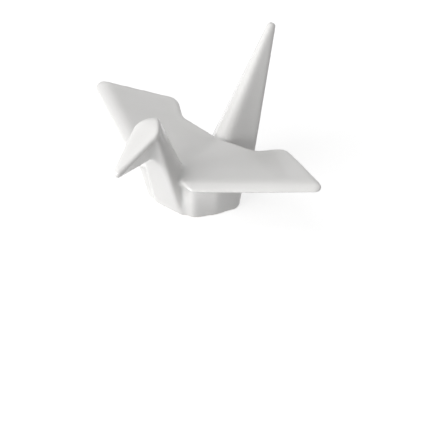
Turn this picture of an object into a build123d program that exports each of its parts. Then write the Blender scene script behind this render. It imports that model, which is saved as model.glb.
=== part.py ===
"""Chopstick rest in glazed porcelain, shaped as a folded paper crane.

The crane stands on a flat foot. Its neck rises at the front and its tail at the
back, and the saddle between them, over the wings, is the working surface. The
limbs are formed apart and luted to the body, so each one is a solid of its own
that meets the body, or its neighbour, on a flat seat.

Millimetres and degrees. +X runs to the right wing, +Y to the tail, +Z up. The
origin is the middle of the foot.
"""

import os
from math import atan2, cos, degrees, radians, sin, tan

from build123d import *

# Foot
foot_length = 15.6
foot_front_half_width = 5.5
foot_shoulder_half_width = 8.2
foot_shoulder_y = -4.0
foot_side_half_width = 10.2
foot_side_y = 0.3
foot_back_half_width = 5.4
foot_groove_y = -8.2

# Keel, flaring from the foot into the underside of the wings
keel_height = 9.6
keel_front_y = -9.4
keel_front_half_width = 6.6
keel_shoulder_half_width = 11.2
keel_shoulder_y = -6.8
keel_side_half_width = 12.0
keel_side_y = 0.5
keel_back_half_width = 6.0
keel_back_y = 6.8
keel_groove_half_width = 1.8
keel_groove_y = -7.3
keel_corner_radius = 1.8

# Wings
wing_span = 58.0
wing_tip_y = 3.0
wing_back_corner_x = 13.55
wing_back_corner_y = 10.5
wing_back_root_x = 9.2
wing_back_root_y = 6.9
wing_front_corner_x = 6.8
wing_front_corner_y = -9.8
wing_front_root_y = -7.9
wing_dihedral = 7.6
wing_thickness = 1.3
wing_tip_radius = 1.2
wing_back_corner_radius = 2.6
wing_back_root_radius = 2.5
wing_front_corner_radius = 1.5
wing_bevel_width = 2.0
wing_bevel_drop = 0.9
wing_bevel_radius = 4.0
wing_edge_radius = 0.3
saddle_height = 8.15

# Neck
neck_base_y = -8.5
neck_half_width = 3.7
neck_top_half_width = 2.6
neck_lean = 17.3
neck_ridge_y = -0.2
neck_ridge_lean = 25.6
neck_side_bulge = 0.7
neck_edge_radius = 0.4
neck_trim = 2.3
crown_height = 22.9
crown_slope = 14.0
crown_fold_radius = 8.0

# Head, folded forward from the front of the neck
head_depth = 7.8
beak_reach = 9.3
beak_slope = 29.0
beak_tip_half_width = 1.0
beak_tip_depth = 2.1
head_edge_radius = 0.3
head_ridge_radius = 0.35
beak_tip_radius = 0.45
beak_end_length = 0.35
beak_end_inset = 0.25

# Tail
tail_base_y = 9.6
tail_half_width = 6.3
tail_lean = 27.8
tail_ridge_y = -2.5
tail_height = 26.7
tail_tip_half_width = 1.25
tail_tip_depth = 1.9
tail_edge_radius = 0.5
tail_ridge_radius = 2.8
tail_tip_radius = 0.45
tail_end_height = 0.45
tail_end_inset = 0.35

# Seats where the limbs are luted on
neck_seat_height = 10.5
tail_seat_height = 11.5
wing_seat_x = 12.4


def folded_section(half_width, flat_y, ridge_y, edge_radius, ridge_radius):
    """A triangle with its flat side across the limb and its ridge on the middle plane."""
    Polygon((-half_width, flat_y), (half_width, flat_y), (0, ridge_y), align=None)
    fillet(vertices().sort_by(Axis.Y)[0], ridge_radius)
    fillet(vertices().sort_by(Axis.Y)[-2:], edge_radius)


def bulged_section(half_width, flat_y, ridge_y, bulge, edge_radius):
    """The folded section with its two ridge sides bowed outward."""
    middle_x = half_width / 2
    middle_y = (flat_y + ridge_y) / 2
    side = atan2(ridge_y - flat_y, half_width)
    bowed_x = middle_x + bulge * sin(side)
    bowed_y = middle_y + bulge * cos(side)
    with BuildLine() as outline:
        Line((-half_width, flat_y), (half_width, flat_y))
        ThreePointArc((half_width, flat_y), (bowed_x, bowed_y), (0, ridge_y))
        ThreePointArc((0, ridge_y), (-bowed_x, bowed_y), (-half_width, flat_y))
    make_face(outline.edges())
    fillet(vertices(), edge_radius)


def tip_section(half_width, flat_y, depth, radius):
    """The small folded section near the tip of a limb, which is evenly rounded."""
    folded_section(half_width, flat_y, flat_y - depth, radius, radius)


def keel_section(groove_y, front, shoulder, side, back):
    """The outline of the keel through its right-hand corners, grooved beside the neck."""
    groove = (keel_groove_half_width, groove_y)
    right_side = [groove, front, shoulder, side, back]
    left_side = [(-x, y) for x, y in reversed(right_side)]
    Polygon(*right_side, *left_side, align=None)
    fillet(vertices(), keel_corner_radius)


# Neck, from the foot up to the slanting crown, which trims it
neck_loft_height = crown_height + neck_trim
neck_front_y = neck_base_y - neck_loft_height * tan(radians(neck_lean))
neck_back_y = neck_ridge_y - neck_loft_height * tan(radians(neck_ridge_lean))
crown_y = neck_ridge_y - crown_height * tan(radians(neck_ridge_lean))
crown_run = tan(radians((crown_slope + beak_slope) / 2))
crown_front_height = (crown_height + (neck_base_y - crown_y) * crown_run) / (
    1 + tan(radians(neck_lean)) * crown_run
)
crown_front_y = neck_base_y - crown_front_height * tan(radians(neck_lean))
with BuildPart() as neck_form:
    with BuildSketch():
        bulged_section(
            neck_half_width, neck_base_y, neck_ridge_y, neck_side_bulge, neck_edge_radius
        )
    with BuildSketch(Plane.XY.offset(neck_loft_height)):
        bulged_section(
            neck_top_half_width, neck_front_y, neck_back_y, neck_side_bulge, neck_edge_radius
        )
    loft()
    split(
        bisect_by=Plane((0, crown_y, crown_height)).rotated((crown_slope, 0, 0)),
        keep=Keep.BOTTOM,
    )
    split(
        bisect_by=Plane((0, crown_front_y, crown_front_height)).rotated((beak_slope, 0, 0)),
        keep=Keep.BOTTOM,
    )
    fillet(edges().filter_by(Axis.X).sort_by(Axis.Z)[-1], crown_fold_radius)

# Tail, from the foot up to its blunt tip, which is drawn in at the end
tail_shoulder_height = tail_height - tail_end_height
tail_shoulder_y = tail_base_y + tail_shoulder_height * tan(radians(tail_lean))
tail_tip_y = tail_base_y + tail_height * tan(radians(tail_lean))
with BuildPart() as tail_form:
    with BuildSketch():
        folded_section(
            tail_half_width, tail_base_y, tail_ridge_y, tail_edge_radius, tail_ridge_radius
        )
    with BuildSketch(Plane.XY.offset(tail_shoulder_height)):
        tip_section(tail_tip_half_width, tail_shoulder_y, tail_tip_depth, tail_tip_radius)
    with BuildSketch(Plane.XY.offset(tail_height)):
        tip_section(tail_tip_half_width, tail_tip_y, tail_tip_depth, tail_tip_radius)
        offset(amount=-tail_end_inset)
    loft(ruled=True)

# Right wing, a kite-shaped slab rising from the middle plane
wing_plane = Plane((0, 0, saddle_height)).rotated((0, -wing_dihedral, 0))
wing_axis = Axis(wing_plane.origin, wing_plane.z_dir)
wing_tip_x = wing_span / 2 / cos(radians(wing_dihedral))
wing_sweep = degrees(
    atan2(wing_tip_y - wing_front_corner_y, wing_tip_x - wing_front_corner_x)
)
wing_bevel_slope = degrees(atan2(wing_bevel_drop, wing_bevel_width))
wing_bevel_plane = Plane(
    wing_plane.location
    * Location((wing_tip_x, wing_tip_y, -wing_bevel_drop))
    * Rotation(0, 0, wing_sweep)
    * Rotation(wing_bevel_slope, 0, 0)
)
wing_back_root = (wing_back_root_x, wing_back_root_y)
with BuildPart() as wing_form:
    with BuildSketch(wing_plane):
        Polygon(
            (-wing_front_corner_x, wing_front_root_y),
            (0, wing_front_root_y),
            (wing_front_corner_x, wing_front_corner_y),
            (wing_tip_x, wing_tip_y),
            (wing_back_corner_x, wing_back_corner_y),
            wing_back_root,
            (-wing_front_corner_x, wing_back_root_y),
            align=None,
        )
        fillet(vertices().sort_by_distance(wing_back_root)[0], wing_back_root_radius)
        fillet(vertices().sort_by(Axis.X)[-1], wing_tip_radius)
        fillet(vertices().sort_by(Axis.Y)[-1], wing_back_corner_radius)
        fillet(vertices().sort_by(Axis.Y)[0], wing_front_corner_radius)
    extrude(amount=-wing_thickness)
    split(bisect_by=wing_bevel_plane, keep=Keep.BOTTOM)
    fillet(faces().sort_by(wing_axis)[-1].edges().sort_by(SortBy.LENGTH)[-1], wing_bevel_radius)
    fillet(faces().sort_by(wing_axis)[0].edges(), wing_edge_radius)
    split(bisect_by=Plane.YZ, keep=Keep.TOP)

# Keel, from the foot into the thickness of the wings
with BuildPart() as keel_form:
    with BuildSketch():
        keel_section(
            foot_groove_y,
            (foot_front_half_width, -foot_length / 2),
            (foot_shoulder_half_width, foot_shoulder_y),
            (foot_side_half_width, foot_side_y),
            (foot_back_half_width, foot_length / 2),
        )
    with BuildSketch(Plane.XY.offset(keel_height)):
        keel_section(
            keel_groove_y,
            (keel_front_half_width, keel_front_y),
            (keel_shoulder_half_width, keel_shoulder_y),
            (keel_side_half_width, keel_side_y),
            (keel_back_half_width, keel_back_y),
        )
    loft()
    split(bisect_by=Plane.YZ, keep=Keep.TOP)
    split(bisect_by=wing_plane.offset(-wing_thickness / 2), keep=Keep.BOTTOM)
    mirror(about=Plane.YZ)

# Head, folded down and forward from the front edge of the crown
head_half_width = neck_half_width + (neck_top_half_width - neck_half_width) * (
    crown_front_height / neck_loft_height
)
head_top = crown_front_height / cos(radians(neck_lean))
beak_fall = tan(radians(beak_slope - neck_lean))
beak_shoulder_reach = beak_reach - beak_end_length
beak_shoulder_top = head_top - beak_shoulder_reach * beak_fall
beak_top = head_top - beak_reach * beak_fall
front_plane = Plane(
    origin=(0, neck_base_y, 0),
    x_dir=(1, 0, 0),
    z_dir=(0, -cos(radians(neck_lean)), -sin(radians(neck_lean))),
)
with BuildPart() as head:
    with BuildSketch(front_plane):
        folded_section(
            head_half_width, head_top, head_top - head_depth, head_edge_radius, head_ridge_radius
        )
    with BuildSketch(front_plane.offset(beak_shoulder_reach)):
        tip_section(beak_tip_half_width, beak_shoulder_top, beak_tip_depth, beak_tip_radius)
    with BuildSketch(front_plane.offset(beak_reach)):
        tip_section(beak_tip_half_width, beak_top, beak_tip_depth, beak_tip_radius)
        offset(amount=-beak_end_inset)
    loft(ruled=True)

# The limbs above their seats
with BuildPart() as neck:
    add(neck_form.part)
    split(bisect_by=Plane.XY.offset(neck_seat_height), keep=Keep.TOP)

with BuildPart() as tail:
    add(tail_form.part)
    split(bisect_by=Plane.XY.offset(tail_seat_height), keep=Keep.TOP)

with BuildPart() as right_wing:
    add(wing_form.part)
    split(bisect_by=Plane.YZ.offset(wing_seat_x), keep=Keep.TOP)

with BuildPart() as left_wing:
    mirror(right_wing.part, about=Plane.YZ)

# Body, the keel with the roots of the limbs
with BuildPart() as wing_root:
    add(wing_form.part)
    split(bisect_by=Plane.YZ.offset(wing_seat_x), keep=Keep.BOTTOM)
    mirror(about=Plane.YZ)

with BuildPart() as neck_root:
    add(neck_form.part)
    split(bisect_by=Plane.XY.offset(neck_seat_height), keep=Keep.BOTTOM)

with BuildPart() as tail_root:
    add(tail_form.part)
    split(bisect_by=Plane.XY.offset(tail_seat_height), keep=Keep.BOTTOM)

with BuildPart() as body:
    add(keel_form.part)
    add(wing_root.part)
    add(neck_root.part)
    add(tail_root.part)

os.makedirs("parts", exist_ok=True)

body.part.label = "body"
export_step(body.part, "parts/body.step")

left_wing.part.label = "left_wing"
export_step(left_wing.part, "parts/left_wing.step")

right_wing.part.label = "right_wing"
export_step(right_wing.part, "parts/right_wing.step")

neck.part.label = "neck"
export_step(neck.part, "parts/neck.step")

head.part.label = "head"
export_step(head.part, "parts/head.step")

tail.part.label = "tail"
export_step(tail.part, "parts/tail.step")
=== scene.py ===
"""A white glazed porcelain chopstick rest in the shape of a folded crane.

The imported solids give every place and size. Their joins are softened here as slip
and glaze soften them, and the one skin is then parted at the seats of the limbs,
so that each node keeps a piece of its own. Metres, +X to the right wing, +Y to the
tail, +Z up.
"""

from math import cos, radians, sin

import bmesh
import bpy
import numpy as np
from mathutils import Euler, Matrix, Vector


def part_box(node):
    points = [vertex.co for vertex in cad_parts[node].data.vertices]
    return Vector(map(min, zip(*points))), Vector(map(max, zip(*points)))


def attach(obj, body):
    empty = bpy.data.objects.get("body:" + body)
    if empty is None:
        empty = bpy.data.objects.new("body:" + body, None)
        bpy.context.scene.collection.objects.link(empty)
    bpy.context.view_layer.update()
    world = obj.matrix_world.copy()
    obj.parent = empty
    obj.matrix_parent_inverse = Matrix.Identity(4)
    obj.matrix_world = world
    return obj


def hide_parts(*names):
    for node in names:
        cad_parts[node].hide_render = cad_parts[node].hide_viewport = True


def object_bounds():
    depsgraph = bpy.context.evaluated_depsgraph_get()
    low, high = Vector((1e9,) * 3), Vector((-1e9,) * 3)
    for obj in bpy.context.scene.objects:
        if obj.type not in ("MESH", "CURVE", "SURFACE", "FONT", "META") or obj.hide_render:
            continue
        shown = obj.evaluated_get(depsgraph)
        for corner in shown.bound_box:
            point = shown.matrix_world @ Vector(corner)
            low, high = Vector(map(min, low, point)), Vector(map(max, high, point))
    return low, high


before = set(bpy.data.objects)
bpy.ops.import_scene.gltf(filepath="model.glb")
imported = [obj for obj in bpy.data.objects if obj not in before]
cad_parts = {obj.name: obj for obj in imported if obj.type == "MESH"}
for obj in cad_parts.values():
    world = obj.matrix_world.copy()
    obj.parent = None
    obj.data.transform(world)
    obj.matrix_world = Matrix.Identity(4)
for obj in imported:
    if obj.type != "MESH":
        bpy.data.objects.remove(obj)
cad_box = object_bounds()

MM = 0.001

# The skin: its grain, and how far slip and glaze run at edges and in hollows
SKIN_GRAIN = 0.2 * MM
GRAIN_SLANT = (radians(28), radians(40), radians(20))
STEP_SHARE = 0.5
EVENING_STEPS = 16
BULK_STEPS = 48
WIPING_STEPS = 40
HOLLOW_STEPS = 80
HOLLOW_FILL = 1.2
HOLLOW_LIMIT = 0.6 * MM
GLAZE_THICKNESS = 0.1 * MM

# Where the long edges of the neck are wiped round, fading out between two places each way
WIPED_ASIDE = (4.5 * MM, 6.5 * MM)
WIPED_BACK = (-1 * MM, 2 * MM)
WIPED_UP = (14 * MM, 25 * MM)
WIPED_FORWARD = (0.4 * MM, 1.4 * MM)

# Where the right wing's tip, the rounder of the two, is wiped, fading in between two places
WIPED_TIP = (19 * MM, 26 * MM)

# The flat seats of the limbs
NECK_LEAN = radians(17.3)
NECK_FRONT_Y = -8.5 * MM
HEAD_SEAT_LIFT = 0.3 * MM
LIMB_MARGIN = 3 * MM
CUT_TOLERANCE = 0.0001 * MM

# The colours of the porcelain and its glaze, and how much each tint shows
PORCELAIN = (0.80, 0.795, 0.78, 1)
PALE_PORCELAIN = (0.83, 0.822, 0.812, 1)
# Lighter tint on convex edges: partly the white body showing through thin glaze, partly a painted
# highlight along folds and rims
THIN_GLAZE_HIGHLIGHT = (0.92, 0.91, 0.895, 1)
THIN_HIGHLIGHT_SHARE = 0.9
POOLED_GLAZE = (0.74, 0.76, 0.745, 1)
POOLED_SHARE = 0.55
IRON_SPECK = (0.45, 0.40, 0.34, 1)
SPECK_SHARE = 0.06
BARE_CLAY = (0.74, 0.70, 0.64, 1)

# The grain of each unevenness, and the levels of noise or height at which it sets in
DRIFT_GRAIN = 9 * MM
DRIFT_LEVELS = (0.3, 0.7)
SPECK_GRAIN = 0.3 * MM
SPECK_LEVELS = (0.76, 0.82)
GLAZE_LINE_GRAIN = 0.8 * MM
GLAZE_LINE_WAVER = 0.12 * MM
GLAZE_LINE_HEIGHTS = (0.2 * MM, 0.45 * MM)
RIPPLE_GRAIN = 2.6 * MM
PEEL_GRAIN = 0.5 * MM
PEEL_SHARE = 0.08
SWELL_DEPTH = 0.06 * MM
SWELL_STRENGTH = 0.35

# The gloss
GLAZE_ROUGHNESS = 0.34
ROUGHNESS_DRIFT = 0.06
CLAY_ROUGHNESS = 0.72
BODY_IOR = 1.5
COAT_WEIGHT = 0.8
COAT_ROUGHNESS = 0.08
COAT_IOR = 1.45

# The view of the photograph
PHOTO_PIXELS = 423
CAMERA_AZIMUTH = radians(39.754)
CAMERA_ELEVATION = radians(36.329)
CAMERA_DISTANCE = 0.5
PIXELS_PER_METRE = 5156
ORIGIN_PIXEL = (196.425, 188.71)
SENSOR_WIDTH = 36
CLIP_RANGE = 50

# The studio
FLOOR_SIZE = 1.2
FLOOR_DROP = 0.02 * MM
FLOOR_WHITE = (0.55, 0.55, 0.55, 1)
FLOOR_LIFT = 0.73
WHITE = (1, 1, 1, 1)
SURROUND_LIGHT = 0.29
SOFTBOX_DISTANCE = 0.6


class Socket:
    """An output of a shader node, on which arithmetic adds the nodes that it needs."""

    def __init__(self, tree, output):
        self.tree = tree
        self.output = output

    def node(self, kind, settings=None, inputs=None, output=0):
        """Adds a node of that kind, with its settings first and then its inputs."""
        made = self.tree.nodes.new(kind)
        for name, value in (settings or {}).items():
            setattr(made, name, value)
        for name, value in (inputs or {}).items():
            if isinstance(value, Socket):
                self.tree.links.new(value.output, made.inputs[name])
            else:
                made.inputs[name].default_value = value
        return Socket(self.tree, made.outputs[output])

    def maths(self, operation, first, second):
        return self.node("ShaderNodeMath", {"operation": operation}, {0: first, 1: second})

    def __add__(self, other):
        return self.maths("ADD", self, other)

    def __radd__(self, other):
        return self.maths("ADD", other, self)

    def __sub__(self, other):
        return self.maths("SUBTRACT", self, other)

    def __rsub__(self, other):
        return self.maths("SUBTRACT", other, self)

    def __mul__(self, other):
        return self.maths("MULTIPLY", self, other)

    def __rmul__(self, other):
        return self.maths("MULTIPLY", other, self)

    def between(self, low, high):
        """0 at low and below, 1 at high and above, with a soft step between them."""
        settings = {"interpolation_type": "SMOOTHSTEP"}
        return self.node("ShaderNodeMapRange", settings, {"Value": self, 1: low, 2: high})

    def tint(self, base, tinted):
        """The base colour where this is 0, and the tinted one where it is 1."""
        # A Mix node takes its colours at inputs 6 and 7 and gives the mixed one at output 2
        settings = {"data_type": "RGBA"}
        return self.node("ShaderNodeMix", settings, {0: self, 6: base, 7: tinted}, output=2)


def shader_start(tree, kind, inputs=None, output=0):
    """The first socket of an emptied shader tree."""
    tree.nodes.clear()
    return Socket(tree, None).node(kind, inputs=inputs, output=output)


def to_output(shader, kind):
    """Links a shader to its tree's output node."""
    output = shader.tree.nodes.new(kind)
    shader.tree.links.new(shader.output, output.inputs["Surface"])


def white_glaze():
    """Clear gloss over white porcelain: thin and painted highlit on edges, pooled in hollows, wiped
    off the foot.
    """
    material = bpy.data.materials.new("white_glaze")
    material.use_nodes = True
    place = shader_start(material.node_tree, "ShaderNodeTexCoord", output="Object")
    height = place.node("ShaderNodeSeparateXYZ", inputs={0: place}, output="Z")
    pooled = place.node("ShaderNodeAttribute", {"attribute_name": "pooled"}, output="Fac")
    thin_and_highlit = place.node("ShaderNodeAttribute", {"attribute_name": "thin_and_highlit"}, output="Fac")

    def cloud(grain, detail):
        inputs = {"Vector": place, "Scale": 1 / grain, "Detail": detail}
        return place.node("ShaderNodeTexNoise", inputs=inputs)

    drift = cloud(DRIFT_GRAIN, detail=3).between(*DRIFT_LEVELS)
    specks = cloud(SPECK_GRAIN, detail=0).between(*SPECK_LEVELS)
    waver = cloud(GLAZE_LINE_GRAIN, detail=2) * GLAZE_LINE_WAVER
    glazed = (height + waver).between(*GLAZE_LINE_HEIGHTS)
    swell = cloud(RIPPLE_GRAIN, detail=2) + cloud(PEEL_GRAIN, detail=1) * PEEL_SHARE

    porcelain = drift.tint(PORCELAIN, PALE_PORCELAIN)
    # Convex edges and folds made lighter: partly thin glaze, partly a painted highlight
    porcelain = (thin_and_highlit * THIN_HIGHLIGHT_SHARE).tint(porcelain, THIN_GLAZE_HIGHLIGHT)
    porcelain = (pooled * POOLED_SHARE).tint(porcelain, POOLED_GLAZE)
    porcelain = (specks * SPECK_SHARE).tint(porcelain, IRON_SPECK)
    porcelain = glazed.tint(BARE_CLAY, porcelain)

    gloss = GLAZE_ROUGHNESS + drift * ROUGHNESS_DRIFT - pooled * ROUGHNESS_DRIFT
    roughness = glazed * (gloss - CLAY_ROUGHNESS) + CLAY_ROUGHNESS
    surface = place.node(
        "ShaderNodeBump",
        inputs={"Strength": SWELL_STRENGTH, "Distance": SWELL_DEPTH, "Height": swell},
    )
    shader = place.node(
        "ShaderNodeBsdfPrincipled",
        inputs={
            "Base Color": porcelain,
            "Roughness": roughness,
            "IOR": BODY_IOR,
            "Coat Weight": glazed * COAT_WEIGHT,
            "Coat Roughness": COAT_ROUGHNESS,
            "Coat IOR": COAT_IOR,
            "Normal": surface,
        },
    )
    to_output(shader, "ShaderNodeOutputMaterial")
    return material


def joined_solids():
    """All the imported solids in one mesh."""
    joined = bmesh.new()
    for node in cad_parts.values():
        joined.from_mesh(node.data)
    mesh = bpy.data.meshes.new("joined_solids")
    joined.to_mesh(mesh)
    joined.free()
    return mesh


def even_skin(mesh):
    """One closed skin of even grain that slants across a mesh and is drawn onto its faces."""
    slant = Euler(GRAIN_SLANT).to_matrix().to_4x4()
    mesh.transform(slant)
    solids = bpy.data.objects.new("solids", mesh)
    form = bpy.data.objects.new("crane_form", mesh)
    bpy.context.scene.collection.objects.link(solids)
    bpy.context.scene.collection.objects.link(form)
    grain = form.modifiers.new("even_grain", "REMESH")
    grain.mode = "VOXEL"
    grain.voxel_size = SKIN_GRAIN
    drawn = form.modifiers.new("drawn_on", "SHRINKWRAP")
    drawn.target = solids
    drawn.wrap_method = "NEAREST_SURFACEPOINT"
    evaluated = form.evaluated_get(bpy.context.evaluated_depsgraph_get())
    skin = bpy.data.meshes.new_from_object(evaluated)
    bpy.data.objects.remove(form)
    bpy.data.objects.remove(solids)
    skin.transform(slant.inverted())
    return skin


def smoothed(places, edges, steps):
    """The places after each has moved, step by step, towards the mean of its neighbours."""
    start, end = edges.T
    count = len(places)
    neighbours = np.bincount(start, minlength=count) + np.bincount(end, minlength=count)
    places = places.copy()
    for _ in range(steps):
        for axis in range(3):
            line = places[:, axis]
            total = np.bincount(start, line[end], count) + np.bincount(end, line[start], count)
            places[:, axis] += (total / neighbours - line) * STEP_SHARE
    return places


def evened(places, edges):
    """The places without their roughness, with the bulk that is lost at thin ends given back."""
    plain = smoothed(places, edges, EVENING_STEPS)
    return plain + smoothed(places - plain, edges, BULK_STEPS)


def vectors_of(data):
    """The vectors in a mesh's data, such as its places or its normals, as an array."""
    values = np.empty(len(data) * 3, np.float32)
    data.foreach_get("vector", values)
    return values.reshape(-1, 3).astype(float)


def place_vertices(skin, places):
    """Moves a mesh's vertices."""
    skin.vertices.foreach_set("co", places.astype(np.float32).ravel())
    skin.update()


def faded(values, limits):
    """1 up to the first limit, 0 from the second one on, and a straight fall between them."""
    return np.clip((limits[1] - values) / (limits[1] - limits[0]), 0, 1)


def on_the_neck(places):
    """1 for places on the long edges of the neck, fading to 0 at the head, crown and wings."""
    x, y, z = places.T
    forward = (NECK_FRONT_Y - y) * cos(NECK_LEAN) - z * sin(NECK_LEAN)
    return (
        faded(np.abs(x), WIPED_ASIDE)
        * faded(y, WIPED_BACK)
        * faded(z, WIPED_UP)
        * faded(forward, WIPED_FORWARD)
    )


def soften(skin):
    """Wipes the neck and one wing's tip round, fills the hollows and lays the glaze on."""
    edges = np.empty(len(skin.edges) * 2, np.int32)
    skin.edges.foreach_get("vertices", edges)
    edges = edges.reshape(-1, 2)
    places = evened(vectors_of(skin.attributes["position"].data), edges)
    place_vertices(skin, places)
    normals = vectors_of(skin.vertex_normals)
    wiped = smoothed(places, edges, WIPING_STEPS)
    settled = smoothed(wiped, edges, HOLLOW_STEPS)
    run = ((settled - places) * normals).sum(1) * HOLLOW_FILL
    filled = HOLLOW_LIMIT * np.tanh(np.maximum(run, 0) / HOLLOW_LIMIT)
    share = np.maximum(on_the_neck(places), 1 - faded(places[:, 0], WIPED_TIP))
    worn = np.minimum(((wiped - places) * normals).sum(1), 0) * share
    places = evened(places + normals * (filled + worn)[:, None], edges)
    place_vertices(skin, places)
    places += vectors_of(skin.vertex_normals) * GLAZE_THICKNESS
    place_vertices(skin, np.clip(places, *cad_box))
    # Pooled marks the hollows; the other marks convex edges, lightened partly for thin glaze and
    # partly as a painted highlight
    for name, depth in (("pooled", run), ("thin_and_highlit", -run)):
        values = np.clip(depth / HOLLOW_LIMIT, 0, 1).astype(np.float32)
        skin.attributes.new(name, "FLOAT", "POINT").data.foreach_set("value", values)


def limb_seats():
    """For each limb, a point of its seat, the way from there into the limb, and the limb's room."""
    up = Vector((0, 0, 1))
    right = Vector((1, 0, 0))
    forward = Vector((0, -cos(NECK_LEAN), -sin(NECK_LEAN)))
    margin = Vector((LIMB_MARGIN, LIMB_MARGIN, LIMB_MARGIN))
    seats = {}
    for limb, point, way in (
        ("head", Vector((0, NECK_FRONT_Y, 0)) + forward * HEAD_SEAT_LIFT, forward),
        ("neck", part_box("neck")[0], up),
        ("tail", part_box("tail")[0], up),
        ("right_wing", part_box("right_wing")[0], right),
        ("left_wing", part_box("left_wing")[1], -right),
    ):
        low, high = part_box(limb)
        seats[limb] = (point, way, low - margin, high + margin)
    return seats


def in_room(place, low, high):
    """True if a place lies between two corners."""
    return all(a <= p <= b for p, a, b in zip(place, low, high))


def limb_of(place, seats):
    """The name of the limb that holds a place on the skin, or body."""
    for limb, (point, way, low, high) in seats.items():
        if (place - point).dot(way) > 0 and in_room(place, low, high):
            return limb
    return "body"


def part_at_seats(skin, seats):
    """Cuts the skin along every seat and returns {node: bmesh of its open share}."""
    whole = bmesh.new()
    whole.from_mesh(skin)
    for point, way, low, high in seats.values():
        near = [f for f in whole.faces if in_room(f.calc_center_median(), low, high)]
        near_edges = {e for f in near for e in f.edges}
        near_corners = {v for f in near for v in f.verts}
        bmesh.ops.bisect_plane(
            whole,
            geom=[*near, *near_edges, *near_corners],
            plane_co=point,
            plane_no=way,
            dist=CUT_TOLERANCE,
        )
    whole.normal_update()
    normal = whole.verts.layers.float_vector.new("skin_normal")
    for corner in whole.verts:
        corner[normal] = corner.normal
    owner = whole.faces.layers.int.new("owner")
    names = ["body", *seats]
    for face in whole.faces:
        face[owner] = names.index(limb_of(face.calc_center_median(), seats))
    shares = {}
    for number, name in enumerate(names):
        share = whole.copy()
        layer = share.faces.layers.int["owner"]
        others = [f for f in share.faces if f[layer] != number]
        bmesh.ops.delete(share, geom=others, context="FACES")
        shares[name] = share
    whole.free()
    return shares


def closed_piece(name, share):
    """A piece of the skin, closed flat at its seats, that shades as the whole skin does."""
    open_edges = [e for e in share.edges if e.is_boundary]
    skin_faces = len(share.faces)
    bmesh.ops.holes_fill(share, edges=open_edges, sides=0)
    bmesh.ops.recalc_face_normals(share, faces=share.faces)
    share.faces.index_update()
    mesh = bpy.data.meshes.new(name)
    share.to_mesh(mesh)
    share.free()
    mesh.polygons.foreach_set("use_smooth", np.ones(len(mesh.polygons), bool))
    skin_normals = vectors_of(mesh.attributes["skin_normal"].data)
    corner_normals = np.empty((len(mesh.loops), 3))
    for polygon in mesh.polygons:
        corners = slice(polygon.loop_start, polygon.loop_start + polygon.loop_total)
        if polygon.index < skin_faces:
            corner_normals[corners] = skin_normals[list(polygon.vertices)]
        else:
            corner_normals[corners] = polygon.normal
    mesh.normals_split_custom_set(corner_normals.tolist())
    piece = bpy.data.objects.new(name, mesh)
    bpy.context.scene.collection.objects.link(piece)
    return piece


def make_crane():
    """One glazed piece for each solid of the crane."""
    glaze = white_glaze()
    skin = even_skin(joined_solids())
    soften(skin)
    for node, share in part_at_seats(skin, limb_seats()).items():
        piece = closed_piece("porcelain_" + node, share)
        piece.data.materials.append(glaze)
        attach(piece, "root")
        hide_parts(node)


def seen_by_eye_or_mirror(start):
    """1 for rays from the camera or a glossy or clear surface, 0 for those that carry light."""
    kinds = ("Is Camera Ray", "Is Glossy Ray", "Is Transmission Ray")
    eye, mirror, glass = [start.node("ShaderNodeLightPath", output=kind) for kind in kinds]
    return start.maths("MAXIMUM", start.maths("MAXIMUM", eye, mirror), glass)


def make_floor():
    """A plain pale floor that keeps the crane's shadow."""
    mesh = bpy.data.meshes.new("floor")
    half = FLOOR_SIZE / 2
    level = cad_box[0].z - FLOOR_DROP
    corners = [(x * half, y * half, level) for x, y in ((-1, -1), (1, -1), (1, 1), (-1, 1))]
    mesh.from_pydata(corners, [], [(0, 1, 2, 3)])
    floor = bpy.data.objects.new("floor", mesh)
    bpy.context.scene.collection.objects.link(floor)
    material = bpy.data.materials.new("pale_floor")
    material.use_nodes = True
    matt = shader_start(material.node_tree, "ShaderNodeBsdfDiffuse", {"Color": FLOOR_WHITE})
    lift = matt.node("ShaderNodeEmission", inputs={"Color": WHITE, "Strength": FLOOR_LIFT})
    lifted = matt.node("ShaderNodeAddShader", inputs={0: matt, 1: lift})
    shown = seen_by_eye_or_mirror(matt)
    shader = matt.node("ShaderNodeMixShader", inputs={0: shown, 1: matt, 2: lifted})
    to_output(shader, "ShaderNodeOutputMaterial")
    mesh.materials.append(material)


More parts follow.
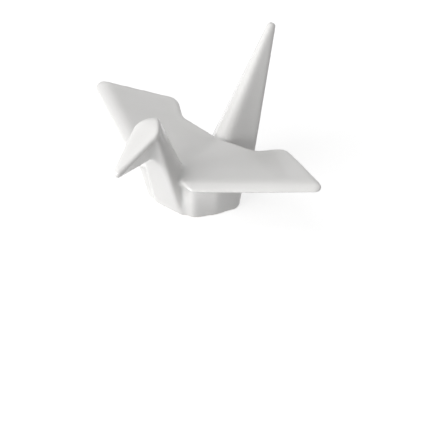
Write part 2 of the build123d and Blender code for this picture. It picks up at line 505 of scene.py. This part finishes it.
def make_surround():
    """A white surround that gives only a soft share of the light."""
    world = bpy.data.worlds.new("white_surround")
    bpy.context.scene.world = world
    world.use_nodes = True
    soft = {"Color": WHITE, "Strength": SURROUND_LIGHT}
    dim = shader_start(world.node_tree, "ShaderNodeBackground", soft)
    bright = dim.node("ShaderNodeBackground", inputs={"Color": WHITE, "Strength": 1})
    shown = seen_by_eye_or_mirror(dim)
    shader = dim.node("ShaderNodeMixShader", inputs={0: shown, 1: dim, 2: bright})
    to_output(shader, "ShaderNodeOutputWorld")


def towards(azimuth, elevation):
    """The way from the crane to a place round it: azimuth 0 off the beak, 90 off the right wing."""
    level = cos(elevation)
    return Vector((sin(azimuth) * level, -cos(azimuth) * level, sin(elevation)))


def make_softbox(name, azimuth, elevation, width, height, power):
    """An oblong soft light that faces the crane."""
    light = bpy.data.lights.new(name, "AREA")
    light.shape = "RECTANGLE"
    light.size = width
    light.size_y = height
    light.energy = power
    softbox = bpy.data.objects.new(name, light)
    bpy.context.scene.collection.objects.link(softbox)
    way = towards(radians(azimuth), radians(elevation))
    softbox.location = way * SOFTBOX_DISTANCE
    softbox.rotation_euler = (-way).to_track_quat("-Z", "Y").to_euler()


def make_camera():
    """The camera of the photograph, which looks just past the middle of the foot."""
    way = towards(CAMERA_AZIMUTH, CAMERA_ELEVATION)
    side = Vector((cos(CAMERA_AZIMUTH), sin(CAMERA_AZIMUTH), 0))
    rise = way.cross(side)
    middle = PHOTO_PIXELS / 2
    aim = side * (middle - ORIGIN_PIXEL[0]) - rise * (middle - ORIGIN_PIXEL[1])
    data = bpy.data.cameras.new("camera")
    data.sensor_width = SENSOR_WIDTH
    data.lens = SENSOR_WIDTH * PIXELS_PER_METRE * CAMERA_DISTANCE / PHOTO_PIXELS
    data.clip_start = CAMERA_DISTANCE / CLIP_RANGE
    data.clip_end = CAMERA_DISTANCE * CLIP_RANGE
    camera = bpy.data.objects.new("camera", data)
    bpy.context.scene.collection.objects.link(camera)
    camera.location = way * CAMERA_DISTANCE
    view = aim / PIXELS_PER_METRE - camera.location
    camera.rotation_euler = view.to_track_quat("-Z", "Y").to_euler()
    bpy.context.scene.camera = camera


make_crane()
make_floor()
make_surround()
make_softbox("front_softbox", azimuth=-15, elevation=16, width=0.6, height=0.25, power=2.85)
make_softbox("high_softbox", azimuth=-70, elevation=60, width=0.5, height=0.5, power=0.9)
make_camera()
bpy.context.scene.view_settings.view_transform = "Standard"
